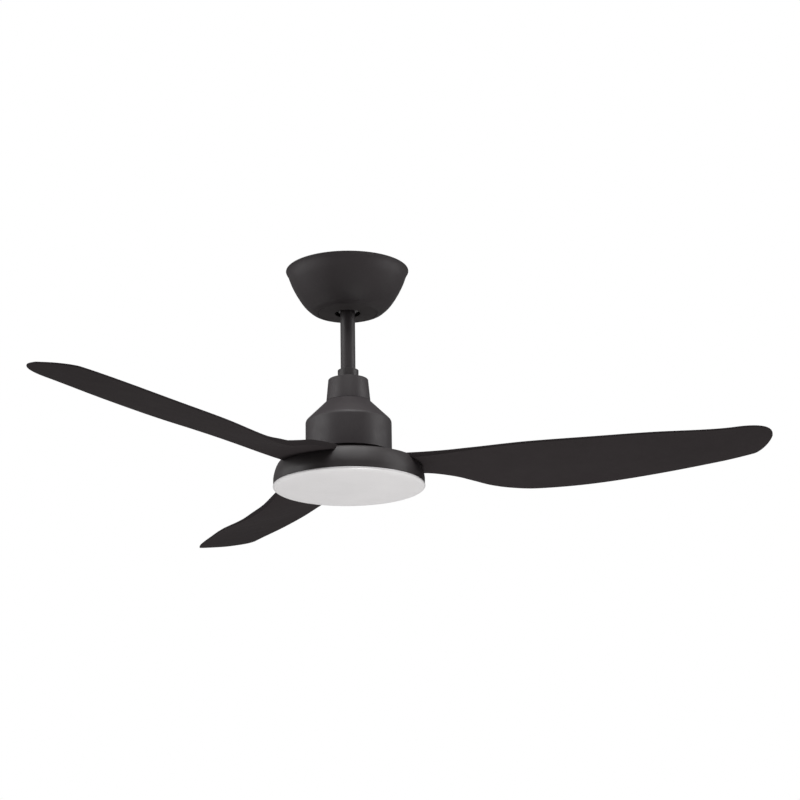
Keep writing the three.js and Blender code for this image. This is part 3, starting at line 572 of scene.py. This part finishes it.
# ---------------------------------------------------------------- bracket and what hangs in it
def hanger_ball():
    """Nylon ball with flat top and foot, a bore for the rod and holes for its pin and set screw."""
    radius = reach("hanger_ball") / MM
    bore = ROD_RADIUS + GAP
    edge = math.asin((top("hanger_ball") / MM - BALL_CENTRE_Z) / radius)
    steps = 40
    arc = []
    for k in range(steps + 1):
        elevation = -edge + 2 * edge * k / steps
        arc.append((radius * math.cos(elevation), BALL_CENTRE_Z + radius * math.sin(elevation)))
    ball = turned("ball", [(bore, arc[0][1], 0.4), *arc, (bore, arc[-1][1], 0.4)], 96)
    combine(ball, side_hole(PIN_HOLE_RADIUS, -30, 30, "Y", BALL_CENTRE_Z), "DIFFERENCE")
    combine(ball, side_hole(2.7, 5, 30, "X", BALL_CENTRE_Z), "DIFFERENCE")
    tidy_mesh(ball.data, 30)
    stands_for(ball, "hanger_ball", "hanger")


def bracket_and_boxes():
    softened("bracket_plate", "ceiling_bracket", "root", 0.35)
    softened("receiver_case", "receiver_box", "root", 1.2)
    softened("terminal_case", "terminal_block", "root", 0.5)


# ---------------------------------------------------------------- canopy, rod and yoke cover
def canopy_shell():
    low, rim, _ = extent("canopy")
    outside = smooth_curve([
        (45.6, low + 0.5), (53, low + 3.9), (63.4, low + 14), (72.7, low + 28), (80.9, low + 44),
        (86.1, low + 58), (89, rim),
    ], 8)
    seat = reach("canopy_ring") / MM + GAP
    plate = [(20, low + 5.7), (20, low + 4.1), (seat, low + 4.1), (seat, low, 0.5)]
    inside = [
        (87.3, rim), (79.3, rim - 18.9), (71, rim - 34.7), (61.6, rim - 48.3), (52.5, rim - 56.5),
        (49, low + 5.7),
    ]
    shell = turned("canopy_shell", plate + outside + inside, 160, 30)
    for side in (-1, 1):
        combine(shell, cylinder("hole", 2.4, low - 2, low + 8, side * CANOPY_SCREW_X), "DIFFERENCE")
    tidy_mesh(shell.data, 30)
    stands_for(shell, "canopy", "root")


def canopy_plate():
    """Slightly dished plate, lowest at the edge of its rod hole."""
    low, _, outer = extent("canopy_ring")
    hole = 18.2
    plate = turned("canopy_plate", [
        (hole, low, 0.6), (outer, low + 1.2, 0.6), (outer, low + 4.6), (outer - 1.5, low + 4.6),
        (outer - 1.5, low + 2.6), (hole, low + 1.4),
    ], 128, 30)
    stands_for(plate, "canopy_ring", "root")
    # painted light: a lighter black than the ring's moulded plastic, standing in for light that the hub's
    # shadow takes from it
    plate.data.materials[0] = painted_light_black()


def rod_tube():
    low, high, outer = extent("downrod")
    tube = turned("rod_tube", [(ROD_BORE, low), (outer, low, 0.4), (outer, high, 0.4), (ROD_BORE, high)], 96)
    for z in (BALL_CENTRE_Z, YOKE_PIN_Z):
        combine(tube, side_hole(PIN_HOLE_RADIUS, -20, 20, "Y", z), "DIFFERENCE")
    tidy_mesh(tube.data)
    stands_for(tube, "downrod", "hanger")


def collar():
    low, high, outer = extent("rod_collar")
    bore = ROD_RADIUS + GAP
    profile = [(bore, low), (outer - 0.2, low, 0.3), (outer, high, 0.5), (bore, high, 0.3)]
    piece = turned("collar", profile, 96)
    stands_for(piece, "rod_collar", "hanger")


def yoke_sleeve():
    low, high, outer = extent("yoke_cover")
    piece = turned("yoke_sleeve", [
        (outer - 1.8, low), (outer, low, 0.2), (30.9, low + 8.1, 20), (28.6, high, 0.9), (11.25, high),
        (11.25, high - 1.8), (26.7, high - 1.8), (29.1, low + 8.1),
    ], 128, 30)
    stands_for(piece, "yoke_cover", "hanger")


def housing_shell():
    low, high, outer = extent("motor_housing")
    wall = 1.6
    piece = turned("housing_shell", [
        (outer - wall, low), (outer, low, 0.5), (outer, high - 29.4, 7), (31.9, high, 0.3), (9.1, high),
        (9.1, high - 2.5), (30.8, high - 2.5), (outer - wall, high - 30.8, 5),
    ], 160, 30)
    for i in range(HOUSING_BOLTS):
        angle = math.radians(30 + 360 / HOUSING_BOLTS * i)
        x = HOUSING_BOLT_CIRCLE * math.cos(angle)
        y = HOUSING_BOLT_CIRCLE * math.sin(angle)
        combine(piece, cylinder("hole", 2.3, high - 5, high + 2, x, y), "DIFFERENCE")
    tidy_mesh(piece.data, 30)
    stands_for(piece, "motor_housing", "hanger")


# ---------------------------------------------------------------- blades
# By radius in mm: chord centre (positive towards the leading edge), half chord seen from above, height
# of the chord centre, pitch in degrees, and the thickness of the leading and of the trailing edge.
BLADE_STATIONS = [
    (60, -4.8, 46.5, -292, 0, 7.4, 8),
    (105, -4.5, 45.6, -292, 0, 7.4, 8.4),
    (145, -6.2, 49.1, -294.2, 4.1, 5.5, 8.1),
    (170, -7.8, 51.9, -296.8, 8.3, 4.7, 8),
    (195, -9.6, 54.9, -299.6, 12.1, 4, 7.6),
    (225, -12, 58.7, -300.9, 14.1, 3.7, 7.2),
    (260, -14.6, 62.6, -301.5, 15, 3.5, 4.2),
    (340, -17.4, 65.8, -298.8, 13.4, 3.2, 3.2),
    (430, -15.4, 60.8, -293.8, 12.2, 3, 3),
    (520, -13.4, 50.9, -288, 10.2, 2.8, 2.8),
    (560, -8.6, 47.1, -284.1, 9.5, 2.7, 2.7),
    (600, 1.2, 44.8, -278.9, 9.2, 2.6, 2.6),
]
BLADE_SWELL = 2.2  # how much thicker the middle of the chord is than its edges, outside the flat root
ROOT_END = 105
SWELL_FULL = 180
EDGE_FILLET = 1.1
LEADING_TIP = (544.3, 2.17)  # where that half chord starts to close, and how fully
TRAILING_TIP = (568.7, 1.6)
TIP_RADIUS = 594.1


def station(radius):
    """The values between the listed stations, on a smooth curve through them."""
    rows = BLADE_STATIONS
    last = len(rows) - 2
    i = next((k for k in range(last, -1, -1) if rows[k][0] <= radius), 0)
    here, there = rows[i], rows[i + 1]
    span = there[0] - here[0]
    t = (radius - here[0]) / span
    values = []
    for k in range(1, 7):
        level = there[k] - here[k]
        leaving = level if i == 0 else (there[k] - rows[i - 1][k]) / (there[0] - rows[i - 1][0]) * span
        arriving = level if i == last else (rows[i + 2][k] - here[k]) / (rows[i + 2][0] - here[0]) * span
        values.append(here[k] + leaving * (t ** 3 - 2 * t * t + t) + level * (3 * t * t - 2 * t ** 3)
                      + arriving * (t ** 3 - t * t))
    return values


def closing(radius, tip):
    """How much of the half chord is left, from 1 where the tip's curve starts to 0 at the tip."""
    start, power = tip
    gone = min(1.0, max(0.0, radius - start) / (TIP_RADIUS - start))
    return (1 - gone ** power) ** (1 / power)


def smooth_step(value, start, end):
    t = min(1.0, max(0.0, (value - start) / (end - start)))
    return t * t * (3 - 2 * t)


def blade_section(radius, grow, across, corner_steps):
    """One closed section of (t, z) points in mm: over the top to the trailing edge, and back underneath."""
    centre, half, z, pitch, leading, trailing = station(radius)
    forward = half * closing(radius, LEADING_TIP)
    backward = half * closing(radius, TRAILING_TIP)
    thinning = 0.4 + 0.6 * min(forward, backward) / half
    swell = BLADE_SWELL * smooth_step(radius, ROOT_END, SWELL_FULL)
    outline = []
    for top_side in (1, -1):
        for k in range(across + 1):
            u = math.cos(math.pi * k / across) * top_side
            edge = trailing + (leading - trailing) * (u + 1) / 2
            rise = (edge + swell * (1 - u * u)) * thinning / 2
            side = forward if u > 0 else backward
            fillet = min(EDGE_FILLET, 0.45 * leading * thinning, 0.3 * side)
            outline.append((u * (side - fillet), top_side * rise))
        side = backward if top_side == 1 else forward
        rise = (trailing if top_side == 1 else leading) * thinning / 2
        fillet = min(EDGE_FILLET, 0.45 * leading * thinning, 0.3 * side)
        for corner in (1, -1):
            for k in range(1 if corner == 1 else 0, corner_steps + (1 if corner == 1 else 0)):
                swing = math.pi / 2 * k / corner_steps
                arc = (math.sin(swing), math.cos(swing))
                out, up = arc if corner == 1 else reversed(arc)
                t = side - fillet + fillet * out
                outline.append((-top_side * t, top_side * corner * (rise - fillet + fillet * up)))
    slope = math.tan(math.radians(pitch))
    placed = []
    for t, rise in outline:
        height = z + t * slope + rise + math.copysign(grow, rise)
        placed.append((centre + t + math.copysign(grow, t), height))
    return placed


def blade_loft(name, radii, heading_deg, grow=0.0, across=24, corner_steps=4):
    """Lofts the sections out from the hub. The leading edge faces clockwise, seen from above."""
    heading = math.radians(heading_deg)
    sections = [blade_section(radius, grow, across, corner_steps) for radius in radii]
    size = len(sections[0])
    vertices = []
    for radius, section in zip(radii, sections):
        for t, z in section:
            x = radius * math.cos(heading) + t * math.sin(heading)
            y = radius * math.sin(heading) - t * math.cos(heading)
            vertices.append((x * MM, y * MM, z * MM))
    faces = [tuple(range(size)), tuple(range(len(vertices) - 1, len(vertices) - size - 1, -1))]
    for i in range(len(sections) - 1):
        for k in range(size):
            after = (k + 1) % size
            faces.append((i * size + k, (i + 1) * size + k, (i + 1) * size + after, i * size + after))
    return mesh_object(name, vertices, faces, 40)


def blade_radii(start, end):
    """Even steps along the span, closing up towards the tip."""
    body_end = LEADING_TIP[0]
    body = [start + (body_end - start) * k / 60 for k in range(60)]
    tip = [body_end + (end - body_end) * math.sin(math.pi / 2 * k / 24) for k in range(25)]
    return body + tip


SCREW_RADIUS = 80
SCREW_OFFSETS = (20, -26)  # across the blade, positive towards the leading edge
SCREW_HOLE_Z = (-302, -284)  # past both faces of the blade's root and of its pocket


def screw_spot(heading_deg, t):
    heading = math.radians(heading_deg)
    x = SCREW_RADIUS * math.cos(heading) + t * math.sin(heading)
    y = SCREW_RADIUS * math.sin(heading) - t * math.cos(heading)
    return x, y


def drill_root(piece, heading_deg, radius):
    """Cuts the holes of one blade's two screws."""
    for t in SCREW_OFFSETS:
        x, y = screw_spot(heading_deg, t)
        combine(piece, cylinder("hole", radius, *SCREW_HOLE_Z, x, y), "DIFFERENCE")


def make_blades():
    for i, heading in enumerate(HEADINGS_DEG, 1):
        blade = blade_loft(f"blade_moulding_{i}", blade_radii(66, TIP_RADIUS - 0.15), heading)
        drill_root(blade, heading, 2.5)
        tidy_mesh(blade.data, 40)
        stands_for(blade, f"blade_{i}", "rotor")
        for k, t in enumerate(SCREW_OFFSETS, 1):
            x, y = screw_spot(heading, t)
            cross_screw(f"pan_head_{i}_{k}", f"blade_{i}_screw_{k}", "rotor", x, y)


def hub_shell():
    """Deck and skirt with a tub under each blade's root, so that the root sits in a closed pocket."""
    low, boss_top, outer = extent("blade_hub")
    crest = HUB_CREST_Z
    skirt = [
        (outer, low + 4), (107.3, low + 9), (106.6, low + 14), (105.4, low + 19), (103.9, low + 23.6),
        (102.1, low + 27.6), (100, low + 30.8),
    ]
    shoulder = [(97, crest - 0.6), (92, crest)]
    shell = turned("hub_shell", [
        (94, crest - 3), (99.2, crest - 7), (101, crest - 10.4), (102.5, crest - 15), (104.2, crest - 19.4),
        (105.1, low + 5), (105.1, low), (outer - 0.4, low), (outer, low + 0.4),
        *smooth_curve(skirt + shoulder, 5),
        (66, crest - 0.6), (56, crest - 0.6, 2), (56, boss_top, 1), (40, boss_top), (40, boss_top - 3.2),
        (51.5, boss_top - 3.2), (51.5, crest - 3),
    ], 192, 30)
    for heading in HEADINGS_DEG:
        tub = blade_loft("tub", [62, 80, 98, 105, 118], heading, 2.8, 12, 3)
        room = turned("room", [
            (57, crest - 12), (103, crest - 12), (99.6, crest - 4), (97, crest - 0.8), (57, crest - 0.8),
        ], 96)
        combine(tub, room, "INTERSECT")
        combine(shell, tub, "UNION")
    for heading in HEADINGS_DEG:
        combine(shell, blade_loft("pocket", [65.7, 80, 98, 105, 120], heading, GAP, 12, 3), "DIFFERENCE")
        drill_root(shell, heading, 2.4)
    tidy_mesh(shell.data, 30)
    stands_for(shell, "blade_hub", "rotor")


# ---------------------------------------------------------------- light cover
def opal_cover():
    """Shallow opal dish with a round edge and a lip that goes up inside the hub."""
    low, _, outer = extent("diffuser")
    rim = low + 4.9
    dome_radius = 98
    dome_rise = 0.4
    steps = 12
    dome = [(dome_radius * k / steps, low + dome_rise * (k / steps) ** 2) for k in range(1, steps + 1)]
    cover = turned("opal_cover", [
        (0, low), *dome, (105.4, low + 1.1, 6), (outer, low + 3.2, 1.6), (outer - 0.5, rim, 0.5), (98.5, rim),
        (98.5, low + 11.8), (96.5, low + 11.8), (96.5, low + 3.4), (0, low + 2),
    ], 192, 40)
    stands_for(cover, "diffuser", "light_cover")


bracket_and_boxes()
hanger_ball()
canopy_shell()
canopy_plate()
rod_tube()
collar()
yoke_sleeve()
housing_shell()
make_blades()
hub_shell()
opal_cover()


# ---------------------------------------------------------------- stage and light
FLOOR_Z = -2.2
FLOOR_HALF = 9.0
FLOOR_CORNERS = ((-1, -1), (1, -1), (1, 1), (-1, 1))
WORLD_WHITE = 1.0
WORLD_FILL = 0.17


def make_floor():
    corners = [(x * FLOOR_HALF, y * FLOOR_HALF, FLOOR_Z) for x, y in FLOOR_CORNERS]
    floor = mesh_object("floor", corners, [(0, 1, 2, 3)])
    paint = Finish("floor_paint", 0.8)
    paint.colours(paint.between(paint.noise(2, 3), 0, 1), srgb(232, 231, 229), srgb(237, 236, 234))
    paint.rough(paint.between(paint.noise(30, 3), 0.75, 0.85))
    floor.data.materials.append(paint.material)


def make_world():
    """Plain white to the camera, and a dimmer fill for everything else."""
    world = bpy.data.worlds.new("studio")
    bpy.context.scene.world = world
    world.use_nodes = True
    tree = world.node_tree
    tree.nodes.clear()
    path = tree.nodes.new("ShaderNodeLightPath")
    mix = tree.nodes.new("ShaderNodeMixShader")
    out = tree.nodes.new("ShaderNodeOutputWorld")
    tree.links.new(path.outputs["Is Camera Ray"], mix.inputs["Fac"])
    for socket, strength in ((1, WORLD_FILL), (2, WORLD_WHITE)):
        background = tree.nodes.new("ShaderNodeBackground")
        background.inputs["Color"].default_value = (1, 1, 1, 1)
        background.inputs["Strength"].default_value = strength
        tree.links.new(background.outputs["Background"], mix.inputs[socket])
    tree.links.new(mix.outputs["Shader"], out.inputs["Surface"])


def softbox(name, place, aim, width, height, power):
    data = bpy.data.lights.new(name, "AREA")
    data.shape = "RECTANGLE"
    data.size = width
    data.size_y = height
    data.energy = power
    lamp = bpy.data.objects.new(name, data)
    bpy.context.scene.collection.objects.link(lamp)
    lamp.location = place
    direction = Vector(aim) - Vector(place)
    lamp.rotation_mode = "QUATERNION"
    lamp.rotation_quaternion = direction.to_track_quat("-Z", "Y")


def around(distance, azimuth_deg, height):
    """A place round the fan. Azimuth 0 is the camera's side and 90 is its right."""
    azimuth = math.radians(azimuth_deg)
    return (distance * math.sin(azimuth), -distance * math.cos(azimuth), height)


def make_lights():
    """Tall strips at the sides, low walls beside the camera, and soft light from above and below."""
    middle = (0, 0, -0.2)
    softbox("left_strip", around(2.9, -68, 1.1), middle, 1.5, 2.6, 34)
    softbox("right_strip", around(2.9, 80, 1.1), middle, 0.7, 2.6, 25)
    softbox("left_wall", around(3.2, -92, 0.4), middle, 2.6, 1.4, 22)
    softbox("right_wall", around(3.2, 92, 0.4), middle, 2.6, 1.4, 20)
    softbox("top_box", (0.1, -1.2, 2.2), middle, 2.2, 2.2, 70)
    softbox("under_box", (0.35, -0.1, -2.1), (0.1, 0, 0), 0.5, 0.5, 19)


make_floor()
make_world()
make_lights()
